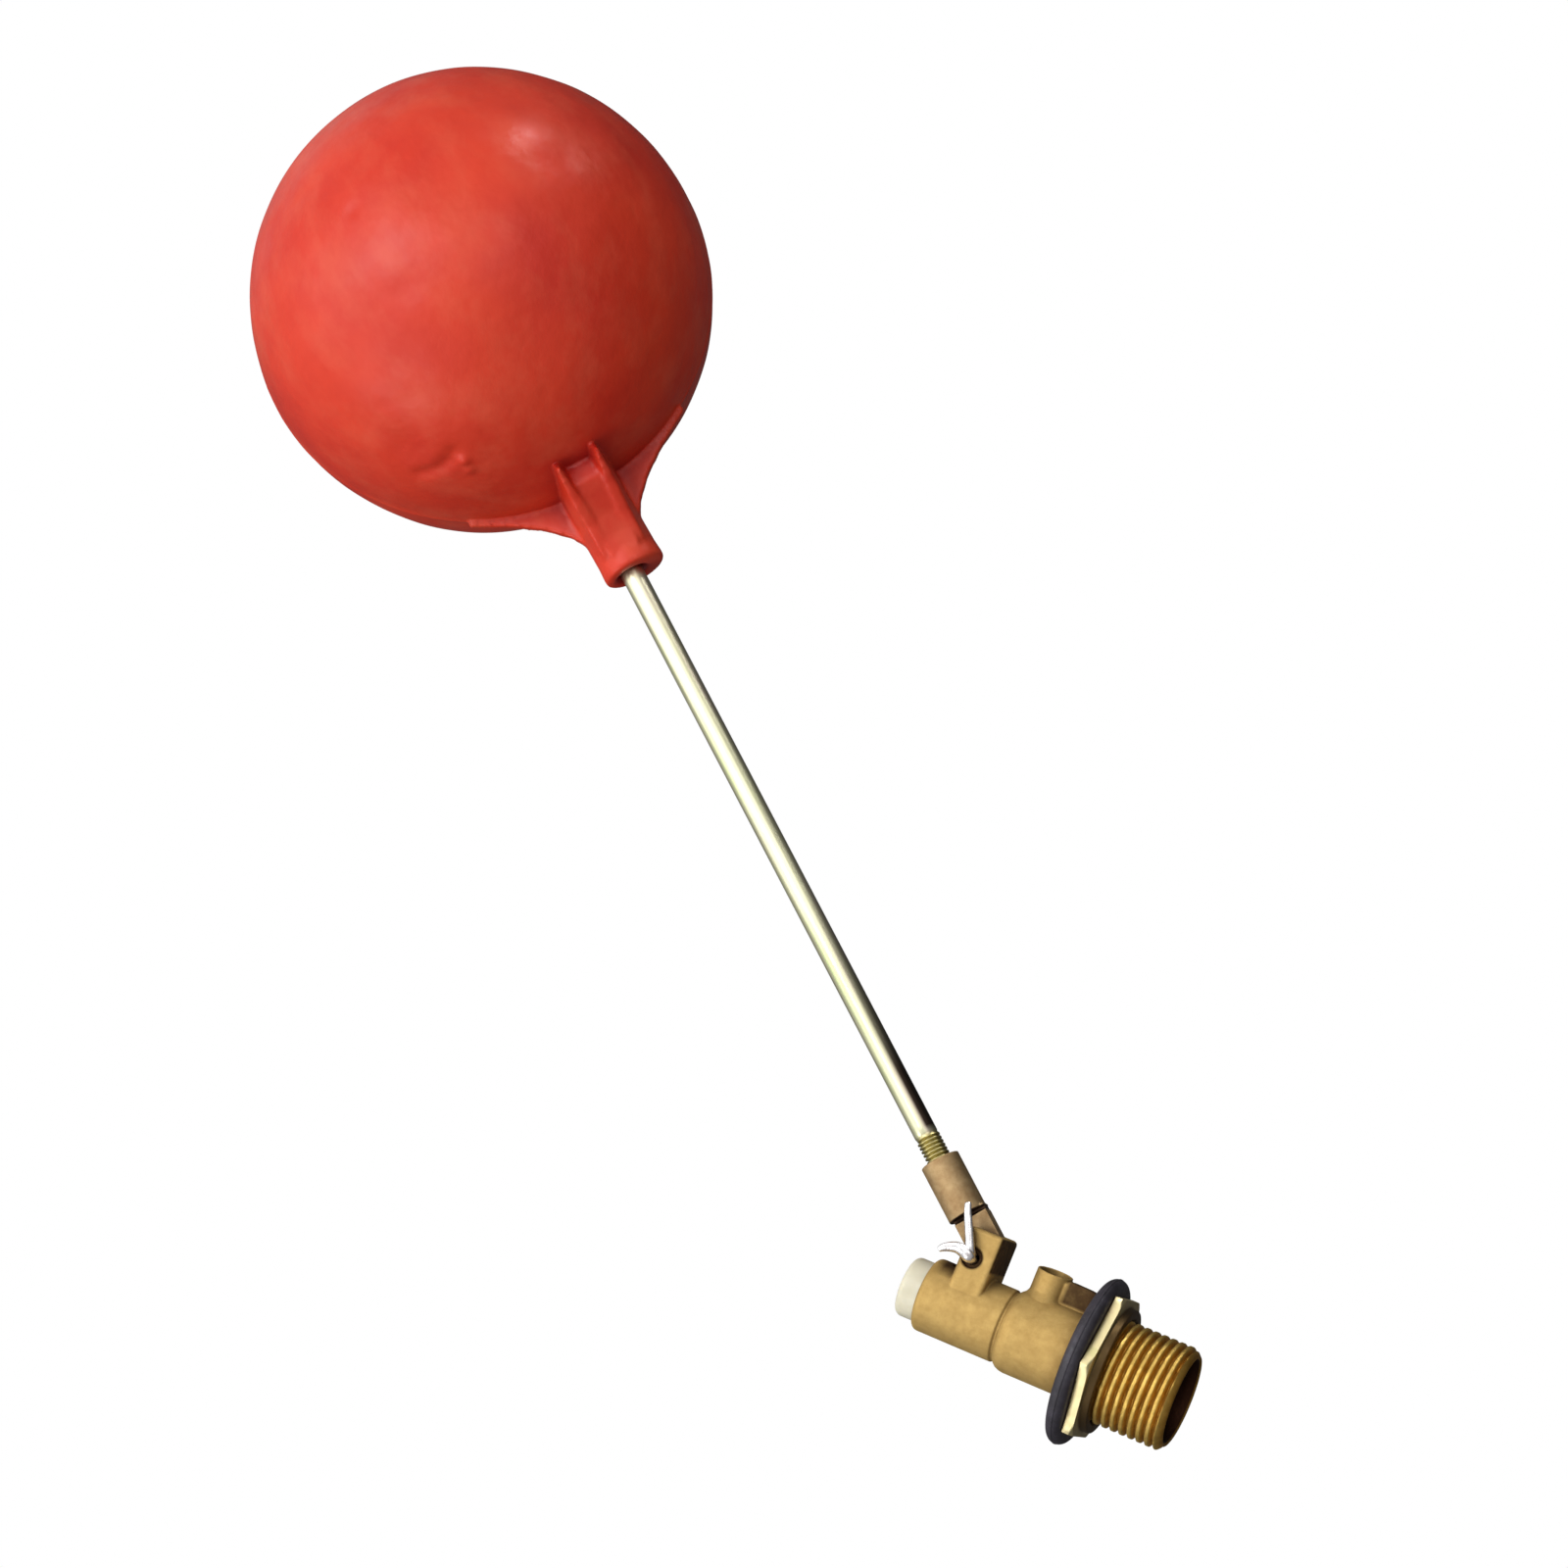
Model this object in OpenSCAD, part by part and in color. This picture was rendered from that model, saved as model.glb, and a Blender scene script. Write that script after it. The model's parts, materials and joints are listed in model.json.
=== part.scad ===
// Brass float valve for filling a cistern or tank, with a ball float on a rod.
// X runs along the valve from the inlet to the plunger and the float, Z is up and the
// outlet faces down. The origin is the centre of the flange's body side, on the valve axis.
// The float hangs at its lowest point, which is the open position of the valve.

/* [Inlet] */
// Crest diameter of the half inch inlet thread
thread_d = 20.955; // [20:0.005:22]
// Distance from the flange's body side to the open end of the inlet
thread_len = 21.7; // [18:0.1:28]
// Diameter of the bore of the inlet tail
inlet_bore_d = 17; // [14:0.1:17.4]
// Depth of the wide part of the inlet bore
inlet_bore_len = 18.2; // [14:0.1:19]
// Chamfer on the open end of the thread
thread_chamfer = 1.3; // [0.5:0.1:1.6]

/* [Flange, washer and nut] */
// Diameter of the flange
flange_d = 22.8; // [22:0.1:26]
// Thickness of the flange, which lies in a recess of the washer
flange_t = 1.4; // [1:0.1:2]
// Outer diameter of the rubber washer
washer_d = 34.2; // [30:0.1:38]
// Thickness of the rubber washer
washer_t = 3.6; // [2.5:0.1:4.5]
// Size across the flats of the lock nut
nut_af = 28; // [26:0.1:30]
// Thickness of the hexagonal plate of the lock nut
nut_plate_t = 2.1; // [1.6:0.1:3]
// Diameter of the round collar of the lock nut
nut_collar_d = 25.4; // [24:0.1:26]
// Height of the collar above the plate
nut_collar_h = 1.6; // [1:0.1:4]

/* [Body] */
// Distance from the flange face to the open end of the chamber
body_end_x = 33.1; // [32:0.1:36]
// Outer diameter of the plunger chamber
chamber_od = 14.9; // [14.5:0.1:16]
// Bore of the plunger chamber
chamber_d = 12.2; // [12:0.05:12.4]
// Outer diameter of the thicker shoulder next to the flange
shoulder_d = 16.9; // [16:0.1:18]
// Distance from the flange face to the outlet axis
outlet_x = 10.6; // [10:0.1:11]
// Outer diameter of the outlet spout
outlet_od = 7.2; // [7:0.1:9]
// Bore of the outlet spout
outlet_d = 5; // [4.4:0.1:5]
// Distance of the end of the outlet spout below the valve axis
outlet_drop = 13.9; // [12:0.1:16]

/* [Ears] */
// Width over both ears
ears_w = 13.4; // [12.8:0.1:14]
// Gap between the ears for the lever
ears_gap = 5.2; // [5:0.1:5.4]
// Distance from the flange face to the closed side of the ears
ears_x = 21.1; // [21:0.1:21.4]
// Size of the ears along the valve
ears_len = 7; // [6.8:0.1:7.2]
// Distance of the ears' lower edge below the valve axis
ears_drop = 15.8; // [15.4:0.1:15.9]
// Distance of the pivot from the flange face
pivot_x = 25.6; // [25.5:0.1:25.8]
// Distance of the pivot below the valve axis
pivot_drop = 10; // [9.9:0.1:10.2]

/* [Lever and float] */
// Angle of the float arm below the horizontal when the float hangs
droop = 39.2; // [36:0.1:39.2]
// Thickness of the lever
lever_t = 4.6; // [4:0.1:4.7]
// Distance of the rod axis below the pivot when the arm is level
rod_drop = 2.1; // [2:0.1:2.4]
// Outer diameter of the lever's sleeve
sleeve_d = 8; // [7.6:0.1:9]
// Diameter of the plain part of the rod
rod_d = 4.8; // [4:0.1:5]
// Diameter of the rod's threaded ends
rod_thread_d = 5; // [4.9:0.05:5.1]
// Distance from the pivot to the mouth of the float's neck
neck_mouth = 157.2; // [120:0.1:180]
// Distance from the pivot to the centre of the float
float_reach = 225.4; // [220:0.1:228]
// Diameter of the float
float_d = 96.4; // [94:0.1:100]
// Wall thickness of the float
float_wall = 1.6; // [1.2:0.1:2.5]
// Outer diameter of the float's neck
neck_d = 13; // [11.6:0.1:14]
// Angle that the float leans upwards on the rod
float_lean = 2; // [0:0.1:2.5]
// Angle that the float is turned on the rod's thread
float_turn = 12; // [0:1:30]

/* [Hidden] */
$fn = 96;

over = 0.01;        // overlap that joins two solids
through = 1;        // how far a cut runs past the face it opens
fit_gap = 0.05;     // radial clearance of a running fit
seat_gap = 0.02;    // radial clearance of a part pressed or screwed home
washer_gap = 0.1;   // radial clearance of the washer on the thread

// Body
shoulder_start = 13;            // where the shoulder begins to taper
shoulder_end = 15.5;            // where the taper meets the chamber
end_chamfer = 1;                // on the rim of the chamber
spout_chamfer = 0.4;
web_t = 4.4;                    // web between the spout and the flange
web_drop = 13.7;                // at the spout, falling towards the flange
web_bend = [2.8, 12.9];         // where its lower edge bends towards the flange
web_foot_drop = 12.2;
seat_bore_d = 10.8;             // narrower second stage of the inlet bore
seat_wall_x = 3.4;              // inlet side of the wall that holds the nozzle
chamber_x = 5;                  // chamber side of that wall
pin_hole_d = 2.5;
pin_sink_d = 4.6;               // shallow recess round the pin hole
pin_sink_h = 0.8;
inner_wall_x = 22.95;           // face of the closed side that the lever rests on
lever_slot = [22.7, 29.5];      // span of the slot in the chamber's underside
ear_edge = 0.8;                 // chamfer of the ears' outer corners

// Nut
nut_corner_h = 0.6;             // turned off the outer corners
nut_corner_w = 1;

// Nozzle
nozzle_d = 5.8;
nozzle_nose_x = 6.4;
nozzle_flange_t = 1.8;
orifice_d = 3.2;

// Plunger and crank. The crank stands square to the valve at mid travel.
crank_r = 10.1;
half_swing = droop / 2;
crank_tip_r = 1.6;
crank_tip = [pivot_x + crank_r * sin(half_swing), -pivot_drop + crank_r * cos(half_swing)];
plunger_d = chamber_d - 2 * fit_gap - 0.02;
plunger_x = 13.7;               // inlet end of the plunger when the valve is open
plunger_end_x = 37.3;
plunger_round = 1.3;
seal_d = 9;
seal_t = 2.5;
seal_proud = 0.5;
slot_clear = 0.12;              // on each side of the crank tip
slot_mouth = 3.6;               // half width of the flared mouth of the plunger's slot
slot_neck_z = -1.4;             // where the flare begins
slot_top_z = 2.3;

// Lever, in the frame of the level arm with the pivot at its origin
eye_r = 2.4;
tongue_back = -6.1;
tongue_top = 0.9;
tongue_start = 1.6;
sleeve_x = 8.75;
sleeve_end_x = 20.9;
rod_start_x = 10;
rod_thread_end_x = 26.4;
shank_half = 1;                 // half width of the crank near its tip
eye_hole_d = pin_hole_d + 0.02;

// Float
neck_inner_end = neck_mouth + 27;
neck_hole_d = 5.8;
insert_d = 8;
insert_x = neck_mouth + 8;
insert_len = 13;
rod_end_x = insert_x + insert_len + 2;
rod_tip_thread = 16;
lean_x = 182;                   // where the float's axis crosses the rod's
side_rib_start = 10.5;          // distance of the side ribs' toes from the neck's mouth
side_rib_reach = 21;            // distance of their tips from the float's axis
face_rib_start = 3;             // the same for the pair of ribs on each face
face_rib_reach = 18.8;
face_rib_len = 20.8;            // from the neck's mouth to their tips, which stand off the ball
rib_sink = 0.3;                 // depth of the ribs' ends inside the neck and the ball
rib_tip_w = 1;
rib_t = 2.2;
rib_spread = 3.2;               // offset of the paired ribs from the arm's plane
rib_fan = 3.5;
seam_w = 0.8;
seam_proud = 0.2;

// Split pin, with its bent legs drawn in X and Z from the pivot
pin_d = 2.4;
leg_r = 0.55;
pin_span = ears_w / 2 + 0.5;
leg_y = -pin_span - 0.2;
bend_r = 1.15;
knee_r = 0.62;
long_leg = [4.6, -9.7];
short_leg = [[2.4, -1.1], [4.7, -0.8], [6.6, 1]];
eye_loop_r = 1.7;
eye_wire_r = 0.65;

// A solid of revolution about the valve axis, drawn as [distance along X, radius].
module turned() {
    rotate([0, 90, 0]) rotate([0, 0, 90]) rotate_extrude() mirror([1, 0]) rotate(90) children();
}

// A cylinder along X from x0 to x1.
module rod_x(d, x0, x1) {
    translate([x0, 0, 0]) rotate([0, 90, 0]) cylinder(d = d, h = x1 - x0);
}

// A cylinder along Y, centred on the plane of the arm.
module rod_y(d, w) {
    rotate([90, 0, 0]) cylinder(d = d, h = w, center = true);
}

// A plate in the plane of the arm, from an outline in [X, Z].
module plate_xz(w) {
    rotate([90, 0, 0]) linear_extrude(w, center = true) children();
}

// Places a part drawn in the frame of the level arm at the hanging position.
module hanging() {
    translate([pivot_x, 0, -pivot_drop]) rotate([0, droop, 0]) children();
}

// A round wire between two points.
module wire(r, a, b) {
    v = b - a;
    translate(a) rotate([0, acos(v[2] / norm(v)), atan2(v[1], v[0])]) cylinder(r = r, h = norm(v));
}

module body_outside() {
    turned() polygon([
        [-thread_len, 0], [-thread_len, thread_d / 2 - thread_chamfer],
        [-thread_len + thread_chamfer, thread_d / 2], [-flange_t, thread_d / 2],
        [-flange_t, flange_d / 2], [0, flange_d / 2], [0, shoulder_d / 2],
        [shoulder_start, shoulder_d / 2], [shoulder_end, chamber_od / 2],
        [body_end_x - end_chamfer, chamber_od / 2],
        [body_end_x, chamber_od / 2 - end_chamfer], [body_end_x, 0]
    ]);
    // outlet spout
    translate([outlet_x, 0, -outlet_drop]) rotate_extrude() polygon([
        [0, 0], [outlet_od / 2 - spout_chamfer, 0], [outlet_od / 2, spout_chamfer],
        [outlet_od / 2, outlet_drop], [0, outlet_drop]
    ]);
    // web between the spout and the flange
    plate_xz(web_t) polygon([[over, 0], [over, -web_foot_drop], [web_bend[0], -web_bend[1]],
                             [outlet_x, -web_drop], [outlet_x, 0]]);
    // ears, closed on the inlet side
    ears_block();
}

// The block that the ears are cut from, with chamfered lower corners.
module ears_block() {
    half = ears_w / 2;
    translate([ears_x, 0, 0]) rotate([90, 0, 90]) linear_extrude(ears_len) polygon([
        [-half, 0], [-half, -ears_drop + ear_edge], [-half + ear_edge, -ears_drop],
        [half - ear_edge, -ears_drop], [half, -ears_drop + ear_edge], [half, 0]
    ]);
}

module valve_body() {
    color("goldenrod") difference() {
        body_outside();
        // inlet bore, its second stage and the hole for the nozzle
        rod_x(inlet_bore_d, -thread_len - through, -thread_len + inlet_bore_len);
        rod_x(seat_bore_d, -thread_len, seat_wall_x);
        rod_x(nozzle_d + 2 * seat_gap, 0, chamber_x + through);
        // chamber
        rod_x(chamber_d, chamber_x, body_end_x + through);
        // outlet
        translate([outlet_x, 0, -outlet_drop - through]) cylinder(d = outlet_d, h = outlet_drop + through);
        // gap between the ears, and the slot into the chamber
        translate([inner_wall_x, -ears_gap / 2, -ears_drop - through])
            cube([ears_len + through, ears_gap, ears_drop + through - chamber_od / 2 + over]);
        translate([lever_slot[0], -ears_gap / 2, -chamber_od / 2 - 0.2])
            cube([lever_slot[1] - lever_slot[0], ears_gap, chamber_od / 2]);
        // pin holes with their recesses
        translate([pivot_x, 0, -pivot_drop]) {
            rod_y(pin_hole_d, ears_w + 2 * through);
            for (side = [-1, 1])
                translate([0, side * (ears_w / 2 - pin_sink_h / 2 + through / 2), 0])
                    rod_y(pin_sink_d, pin_sink_h + through);
        }
    }
}

module seat_nozzle() {
    color("whitesmoke") difference() {
        union() {
            rod_x(seat_bore_d - 2 * seat_gap, seat_wall_x - nozzle_flange_t, seat_wall_x);
            rod_x(nozzle_d, seat_wall_x - over, nozzle_nose_x);
        }
        rod_x(orifice_d, 0, nozzle_nose_x + through);
    }
}

module flange_washer() {
    rim_r = washer_t / 2;
    inner_r = thread_d / 2 + washer_gap;
    recess_r = flange_d / 2 + washer_gap;
    color("#26242a") turned() {
        difference() {
            translate([-washer_t, inner_r]) square([washer_t, washer_d / 2 - rim_r - inner_r]);
            translate([-flange_t, 0]) square([flange_t + through, recess_r]);
        }
        translate([-rim_r, washer_d / 2 - rim_r]) circle(r = rim_r);
    }
}

module lock_nut() {
    hex_r = nut_af / 2 / cos(30);
    plate_x = -washer_t - nut_plate_t;
    collar_x = plate_x - nut_collar_h;
    color("khaki") difference() {
        union() {
            // hexagon with two corners across Y, and its outer corners turned off
            intersection() {
                translate([plate_x, 0, 0]) rotate([0, 90, 0]) rotate([0, 0, 90])
                    cylinder(r = hex_r, h = nut_plate_t, $fn = 6);
                turned() polygon([
                    [-washer_t, 0], [-washer_t, hex_r], [plate_x + nut_corner_h, hex_r],
                    [plate_x, hex_r - nut_corner_w], [plate_x, 0]
                ]);
            }
            rod_x(nut_collar_d, collar_x, plate_x + over);
        }
        rod_x(thread_d + 2 * fit_gap, collar_x - through, -washer_t + through);
    }
}

module plunger() {
    r = plunger_d / 2;
    color("ivory") difference() {
        turned() {
            translate([plunger_x, 0]) square([plunger_end_x - plunger_round - plunger_x, r]);
            translate([plunger_x, 0]) square([plunger_end_x - plunger_x, r - plunger_round]);
            translate([plunger_end_x - plunger_round, r - plunger_round]) circle(r = plunger_round);
        }
        // cup for the rubber seal
        rod_x(seal_d, plunger_x - through, plunger_x + seal_t - seal_proud);
        // slot for the crank, flared towards the pivot
        tip_half = crank_tip_r + slot_clear;
        plate_xz(ears_gap) translate([crank_tip[0], 0]) polygon([
            [-tip_half, slot_top_z], [tip_half, slot_top_z], [tip_half, slot_neck_z],
            [slot_mouth, -r], [slot_mouth, -r - through], [-slot_mouth, -r - through],
            [-slot_mouth, -r], [-tip_half, slot_neck_z]
        ]);
    }
}

module plunger_seal() {
    color("#2b2b2b")
        rod_x(seal_d - 2 * seat_gap, plunger_x - seal_proud, plunger_x - seal_proud + seal_t);
}

// Outline of the lever's tongue and eye, in the plane of the level arm.
module tongue_outline() {
    tangent = atan2(tongue_back, tongue_start) - acos(eye_r / norm([tongue_start, tongue_back]));
    circle(r = eye_r);
    polygon([
        [0, 0], eye_r * [cos(tangent), sin(tangent)], [tongue_start, tongue_back],
        [sleeve_x + over, tongue_back], [sleeve_x + over, tongue_top], [0, tongue_top]
    ]);
}

// The crank that reaches up from the eye into the plunger.
module crank_outline() {
    rotate(half_swing) {
        polygon([[-eye_r + 0.6, 0], [eye_r - 0.6, 0], [shank_half, crank_r - 2], [shank_half, crank_r],
                 [-shank_half, crank_r], [-shank_half, crank_r - 2]]);
        translate([0, crank_r]) circle(r = crank_tip_r);
    }
}

module lever() {
    color("darkgoldenrod") hanging() difference() {
        union() {
            plate_xz(lever_t) tongue_outline();
            plate_xz(lever_t) crank_outline();
            translate([0, 0, -rod_drop]) rod_x(sleeve_d, sleeve_x, sleeve_end_x);
        }
        rod_y(eye_hole_d, lever_t + through);
        translate([0, 0, -rod_drop]) rod_x(rod_thread_d + 2 * seat_gap, rod_start_x, sleeve_end_x + through);
    }
}

// A point of a leg, in front of the ear.
function leg_point(p) = [p[0], leg_y, p[1]];

module split_pin() {
    color("silver") translate([pivot_x, 0, -pivot_drop]) {
        translate([0, (leg_y + pin_span) / 2, 0]) rod_y(pin_d, pin_span - leg_y);
        // legs bent apart in front of the ear
        foot = [0, leg_y, 0];
        wire(leg_r, foot, leg_point(long_leg));
        wire(leg_r, foot, leg_point(short_leg[0]));
        for (k = [1 : len(short_leg) - 1]) {
            wire(leg_r, leg_point(short_leg[k - 1]), leg_point(short_leg[k]));
            translate(leg_point(short_leg[k - 1])) sphere(r = knee_r);
        }
        translate(foot) sphere(r = bend_r);
        // eye behind the other ear
        translate([0, pin_span + eye_loop_r, 0])
            rotate([0, 90, 0]) rotate_extrude() translate([eye_loop_r, 0]) circle(r = eye_wire_r);
    }
}

module float_rod() {
    color("palegoldenrod") hanging() translate([0, 0, -rod_drop]) {
        rod_x(rod_thread_d, rod_start_x, rod_thread_end_x);
        rod_x(rod_d, rod_thread_end_x - over, rod_end_x - rod_tip_thread + over);
        rod_x(rod_thread_d, rod_end_x - rod_tip_thread, rod_end_x);
    }
}

module float_insert() {
    color("gold") hanging() translate([0, 0, -rod_drop]) difference() {
        rod_x(insert_d - 2 * seat_gap, insert_x, insert_x + insert_len);
        rod_x(rod_thread_d + 2 * seat_gap, insert_x - through, insert_x + insert_len + through);
    }
}

// Places a part drawn on the rod's axis in the float's own frame, which leans on the rod.
module leaning() {
    translate([lean_x, 0, 0]) rotate([float_turn, -float_lean, 0]) translate([-lean_x, 0, 0]) children();
}

// One rib in the plane of the arm, from its toe on the neck out to its tip.
module rib(start, tip_x, reach) {
    toe_x = neck_mouth + start;
    plate_xz(rib_t) polygon([
        [toe_x, 0], [toe_x, neck_d / 2 - rib_sink], [tip_x, reach],
        [tip_x + rib_tip_w, reach], [float_reach - float_d / 2 + 2 * rib_tip_w, 0]
    ]);
}

// One rib on each side in the plane of the seam, and a spread pair on each face.
module ribs() {
    side_tip_x = float_reach - sqrt(pow(float_d / 2 - rib_sink, 2) - pow(side_rib_reach, 2));
    for (turn = [0, 180])
        rotate([turn, 0, 0]) rib(side_rib_start, side_tip_x, side_rib_reach);
    for (turn = [90, -90], side = [-1, 1])
        rotate([turn, 0, 0]) translate([0, side * rib_spread, 0]) rotate([side * -rib_fan, 0, 0])
            rib(face_rib_start, neck_mouth + face_rib_len, face_rib_reach);
}

module float_ball() {
    ball_r = float_d / 2;
    color("tomato") hanging() translate([0, 0, -rod_drop]) difference() {
        leaning() {
            difference() {
                union() {
                    translate([float_reach, 0, 0]) sphere(r = ball_r);
                    translate([float_reach, 0, 0]) rod_y(float_d + 2 * seam_proud, seam_w);
                    ribs();
                }
                translate([float_reach, 0, 0]) sphere(r = ball_r - float_wall);
            }
            rod_x(neck_d, neck_mouth, neck_inner_end);
        }
        rod_x(neck_hole_d, neck_mouth - 2 * through, neck_inner_end - float_wall - through);
        rod_x(insert_d, insert_x, insert_x + insert_len);
    }
}

valve_body();
seat_nozzle();
flange_washer();
lock_nut();
plunger();
plunger_seal();
lever();
split_pin();
float_rod();
float_insert();
float_ball();
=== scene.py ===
import json
import math
import bmesh
import bpy
import numpy as np
from mathutils import Matrix, Vector, noise


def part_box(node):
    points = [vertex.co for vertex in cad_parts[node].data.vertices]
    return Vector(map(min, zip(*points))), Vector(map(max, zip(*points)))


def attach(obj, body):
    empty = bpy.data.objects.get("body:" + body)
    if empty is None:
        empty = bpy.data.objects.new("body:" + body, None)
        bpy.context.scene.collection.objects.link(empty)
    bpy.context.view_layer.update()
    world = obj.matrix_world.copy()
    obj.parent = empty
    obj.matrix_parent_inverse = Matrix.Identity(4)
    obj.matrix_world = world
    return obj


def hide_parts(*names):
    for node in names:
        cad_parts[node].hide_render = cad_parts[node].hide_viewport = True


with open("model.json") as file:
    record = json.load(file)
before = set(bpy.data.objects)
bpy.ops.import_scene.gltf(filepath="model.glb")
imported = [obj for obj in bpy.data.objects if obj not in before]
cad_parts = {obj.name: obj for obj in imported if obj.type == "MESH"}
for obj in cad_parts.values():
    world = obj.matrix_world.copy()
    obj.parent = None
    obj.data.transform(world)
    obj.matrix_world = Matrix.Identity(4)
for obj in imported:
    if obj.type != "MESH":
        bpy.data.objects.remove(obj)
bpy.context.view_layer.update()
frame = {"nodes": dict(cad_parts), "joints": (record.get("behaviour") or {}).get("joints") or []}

MM = 0.001
TAU = 2 * math.pi

# New meshes and materials for the pieces of a brass float valve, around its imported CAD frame.

# ---------------------------------------------------------------- sizes, in millimetres
# The valve axis is X, with the flange's body side at X = 0.
BODY_LOW, BODY_HIGH = (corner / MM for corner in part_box("valve_body"))
NUT_LOW, NUT_HIGH = (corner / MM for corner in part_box("lock_nut"))
WASHER_LOW, WASHER_HIGH = (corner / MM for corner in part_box("flange_washer"))
PLUNGER_LOW, PLUNGER_HIGH = (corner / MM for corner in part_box("plunger"))
ARM_JOINT = next(joint for joint in frame["joints"] if joint["name"] == "float_arm")
PIVOT = Vector(ARM_JOINT["pos_m"]) / MM
DROOP = math.radians(ARM_JOINT["range_deg"][1])

# inlet tail, with its half inch pipe thread
THREAD_CREST_R = 10.4775
THREAD_ROOT_R = 9.45
THREAD_PITCH = 1.814
THREAD_CHAMFER = 1.3
TAIL_BORE_R = 8.5
TAIL_BORE_END = -3.5
SEAT_BORE_R = 5.4
FLANK_SLOPE, ROOT_WIDTH = 1.55, 0.08        # form of every thread

# body
FLANGE_R = 11.4
FLANGE_T = 1.4
SHOULDER_R = 8.45
SHOULDER_END = 13
TAPER_END = 15.5
CHAMBER_OUTER_R = 7.45
CHAMBER_R = 6.1
END_ROUND = 1.2
SPOUT_X = 10.6
SPOUT_R = 3.6
SPOUT_BORE_R = 2.5
SPOUT_END = -13.9
WEB_HALF = 2.2
EARS_X = 21.1
EARS_END = 28.1
EARS_HALF = 6.7
GAP_HALF = 2.6
INNER_WALL_X = 22.95
PIN_HOLE_R = 1.25
PIN_SINK_R = 2.0
PIN_SINK_H = 0.7
NOZZLE_BORE_R = 2.92
SPOUT_SLANT = math.radians(8)               # the spout's end is this far out of square

# lock nut and plunger
NUT_PLATE_X, NUT_COLLAR_R = -5.7, 12.7
NUT_CORNER_CUT = 0.12
SLOT_X, SLOT_HALF, SLOT_TOP = 29, 1.7, 2.3
FLARE_HALF, FLARE_TOP = 3.6, -1.4
# arm, in the frame of the level arm with the pivot at its origin
ROD_DROP = 2.1
LEVER_HALF = 2.3
EYE_R, CRANK_R, CRANK_TIP_R = 2.4, 10.1, 1.6
SLEEVE_X, SLEEVE_END, SLEEVE_R = 8.75, 20.9, 4.0
GROOVE, GROOVE_DEPTH = 0.8, 0.7             # groove across the tongue, beside the sleeve
ROD_START, ROD_THREAD_END, ROD_END = 10, 26.4, 180.2
ROD_R, ROD_CREST_R, ROD_ROOT_R, ROD_PITCH = 2.4, 2.5, 2.05, 0.8
MOUTH_X, FLOAT_X, FLOAT_R = 157.2, 225.4, 48.2
FLOAT_LEAN, FLOAT_TURN, LEAN_X = math.radians(2), math.radians(12), 182
NECK_R, NECK_HOLE_R = 6.5, 2.9

METAL_VOXEL, FLOAT_VOXEL = 0.16, 0.5        # of the softened meshes


# ---------------------------------------------------------------- mesh helpers
def add_object(name, data):
    obj = bpy.data.objects.new(name, data)
    bpy.context.scene.collection.objects.link(obj)
    return obj


def mesh_object(name, points, faces):
    """A mesh object from points in millimetres, with its normals facing outwards."""
    mesh = bpy.data.meshes.new(name)
    mesh.from_pydata([tuple(c * MM for c in p) for p in points], [], faces)
    shape = bmesh.new()
    shape.from_mesh(mesh)
    bmesh.ops.remove_doubles(shape, verts=shape.verts, dist=1e-8)
    bmesh.ops.recalc_face_normals(shape, faces=shape.faces)
    shape.to_mesh(mesh)
    shape.free()
    return add_object(name, mesh)


def lathe(name, rings, steps=128, closed=False):
    """A solid about the X axis. A ring is (x, r), and r may be a function of the angle from Y."""
    points, faces = [], []
    for x, r in rings:
        for k in range(steps):
            angle = TAU * k / steps
            radius = r(angle) if callable(r) else r
            points.append((x, radius * math.cos(angle), radius * math.sin(angle)))
    count = len(rings)
    for i in range(count if closed else count - 1):
        a, b = i * steps, (i + 1) % count * steps
        for k in range(steps):
            n = (k + 1) % steps
            faces.append((a + k, a + n, b + n, b + k))
    if not closed:
        faces.append(tuple(range(steps)))
        faces.append(tuple((count - 1) * steps + k for k in range(steps)))
    return mesh_object(name, points, faces)


def prism(name, outline, low, high):
    """A plate in the plane of the arm, from an outline in X and Z, between two values of Y."""
    n = len(outline)
    points = [(x, y, z) for y in (low, high) for x, z in outline]
    faces = [tuple(range(n)), tuple(range(n, 2 * n))]
    faces += [(k, (k + 1) % n, n + (k + 1) % n, n + k) for k in range(n)]
    return mesh_object(name, points, faces)


def block(name, low, high):
    """A box between two corners, to cut with or to build from."""
    outline = [(low[0], low[2]), (high[0], low[2]), (high[0], high[2]), (low[0], high[2])]
    return prism(name, outline, low[1], high[1])


def rod_along(name, radius, start, end, steps=64):
    """A cylinder between two points."""
    a, b = Vector(start), Vector(end)
    obj = lathe(name, [(0, radius), ((b - a).length, radius)], steps)
    turn = Vector((1, 0, 0)).rotation_difference(b - a).to_matrix().to_4x4()
    obj.data.transform(Matrix.Translation(a * MM) @ turn)
    return obj


def arc(centre, radius, start, end, count):
    """Points on an arc in a plane, with angles in degrees."""
    angles = [math.radians(start + (end - start) * k / count) for k in range(count + 1)]
    return [(centre[0] + radius * math.cos(a), centre[1] + radius * math.sin(a)) for a in angles]


def settle(obj):
    """Replaces an object's mesh by what its modifiers make of it."""
    graph = bpy.context.evaluated_depsgraph_get()
    made = bpy.data.meshes.new_from_object(obj.evaluated_get(graph))
    obj.modifiers.clear()
    obj.data = made
    return obj


def bevelled(obj, width):
    """Rounds the edges of a plate or a block."""
    edges = obj.modifiers.new("edges", "BEVEL")
    edges.width = width * MM
    edges.segments = 3
    return settle(obj)


def combine(obj, others, operation):
    """Adds other solids to obj, or cuts them from it, and removes them."""
    for other in others:
        step = obj.modifiers.new("step", "BOOLEAN")
        step.operation = operation
        step.solver = "EXACT"
        step.object = other
        settle(obj)
        bpy.data.objects.remove(other)
    return obj


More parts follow.
